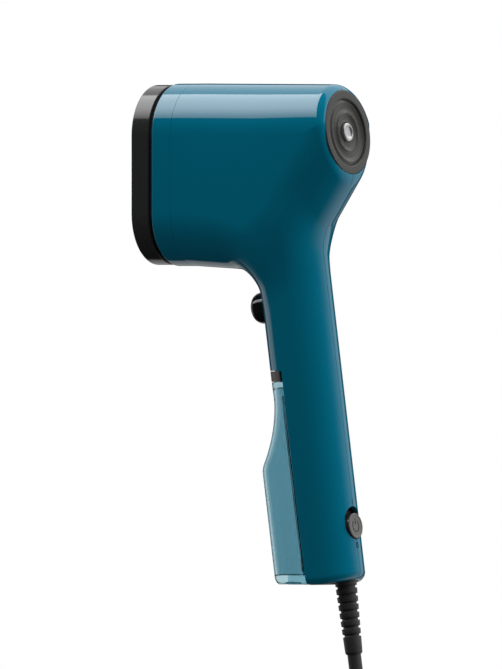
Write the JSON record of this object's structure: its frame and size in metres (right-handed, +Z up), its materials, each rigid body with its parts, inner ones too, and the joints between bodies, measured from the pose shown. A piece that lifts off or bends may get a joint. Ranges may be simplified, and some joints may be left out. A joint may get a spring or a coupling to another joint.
{
  "type": "garment steamer",
  "caption": "Slim handheld garment steamer: flat stadium-shaped steam head on an upright grip with a see-through water tank, steam trigger, sliding power switch and mains lead.",
  "frame": {"origin": "middle of the grip, on the grip's own axis, where a hand holds it", "axes": "+Z up, -Y out of the steam plate, +Y towards the disc at the back of the head, +X towards the object's left side"},
  "size_m": [0.1595, 0.1303, 0.3646],
  "materials": {
    "casing_blue": "glossy moulded ABS, teal blue",
    "trim_black": "glossy black heat-resistant plastic",
    "neck_black": "matt black resin",
    "plate_metal": "ground and polished plate",
    "cast_metal": "as cast",
    "steel": "plain steel",
    "brass": "turned",
    "copper": "enamelled copper winding",
    "gasket_red": "red silicone",
    "silicone": "clear silicone hose",
    "rubber_black": "soft black rubber",
    "mica": "mica sheet",
    "inner_white": "natural nylon",
    "switch_dark": "dark switch housing",
    "plunger_red": "red nylon",
    "disc_grey": "satin dark grey",
    "disc_metal": "bright turned metal",
    "trigger_black": "high gloss black",
    "slider_grey": "satin grey",
    "board_green": "solder resist",
    "wire_red": "silicone insulated wire",
    "tank_clear": "translucent blue",
    "base_clear": "translucent blue",
    "latch_grey": "satin dark grey",
    "cord_black": "black rubber lead",
    "plug_black": "black moulded plug",
    "pin_metal": "nickel plated pins"
  },
  "bodies": {
    "casing": {"left_shell": "casing_blue", "right_shell": "casing_blue", "front_collar": "casing_blue", "plate_rim": "trim_black", "rim_neck": "neck_black", "steam_plate": "plate_metal", "chamber_gasket": "gasket_red", "steam_chamber": "cast_metal", "heating_element": "steel", "element_terminals": "brass", "heater_clamps": "steel", "thermostat": "inner_white", "thermal_fuse": "brass", "heat_shield": "mica", "steam_inlet": "brass", "plate_screws": "steel", "pump_body": "inner_white", "pump_winding": "copper", "pump_spring": "steel", "pump_mounts": "rubber_black", "inlet_hose": "silicone", "outlet_hose": "silicone", "hose_clips": "steel", "rear_disc": "disc_grey", "disc_centre": "disc_metal", "trigger_spring": "steel", "micro_switch": "switch_dark", "slider_insert": "neck_black", "slide_switch": "switch_dark", "circuit_board": "board_green", "board_parts": "switch_dark", "terminal_block": "inner_white", "internal_wires": "wire_red", "cord_clamp": "inner_white", "clamp_screws": "steel", "cradle": "casing_blue", "cradle_screws": "steel", "tank_seal": "gasket_red", "base_cap": "casing_blue", "cord_guard": "cord_black", "cord_run": "cord_black", "cord_coil": "cord_black", "cord_tie": "plug_black", "mains_plug": "plug_black", "plug_pins": "pin_metal"},
    "trigger": {"trigger": "trigger_black"},
    "plunger": {"switch_plunger": "plunger_red"},
    "slider": {"power_slider": "slider_grey"},
    "tank": {"tank_shell": "tank_clear", "tank_base": "base_clear", "tank_spout": "inner_white", "pickup_tube": "silicone", "tank_filter": "inner_white", "flap_pin": "steel", "latch_spring": "steel"},
    "flap": {"filler_flap": "rubber_black"},
    "latch": {"tank_latch": "latch_grey"},
    "pump_core": {"pump_core": "steel"}
  },
  "joints": [
    {"name": "trigger_press", "type": "slide", "parent": "casing", "child": "trigger", "axis": [0, 0.9911, 0.1335], "range_m": [0, 0.003], "stiffness_N_per_m": 500, "springref_m": -0.002, "deforming": ["trigger_spring"]},
    {"name": "plunger_slide", "type": "slide", "parent": "casing", "child": "plunger", "axis": [0, 0.9911, 0.1335], "range_m": [0, 0.003]},
    {"name": "power_slide", "type": "slide", "parent": "casing", "child": "slider", "axis": [0, -0.1335, 0.9911], "range_m": [0, 0.0032]},
    {"name": "tank_release", "type": "slide", "parent": "casing", "child": "tank", "axis": [0, -0.9911, -0.1335], "range_m": [0, 0.045]},
    {"name": "flap_hinge", "type": "hinge", "parent": "tank", "child": "flap", "pos_m": [0, 0.00447, -0.0934], "axis": [1, 0, 0], "range_deg": [0, 90]},
    {"name": "latch_press", "type": "slide", "parent": "tank", "child": "latch", "axis": [0, 0.9911, 0.1335], "range_m": [0, 0.0014], "stiffness_N_per_m": 600, "springref_m": -0.001, "deforming": ["latch_spring"]},
    {"name": "pump_stroke", "type": "slide", "parent": "casing", "child": "pump_core", "axis": [0, 0, 1], "range_m": [-0.0015, 0], "stiffness_N_per_m": 300, "springref_m": 0.001, "deforming": ["pump_spring"]}
  ],
  "couplings": [
    {"joint": "plunger_slide", "follows": "trigger_press", "ratio": 1}
  ]
}
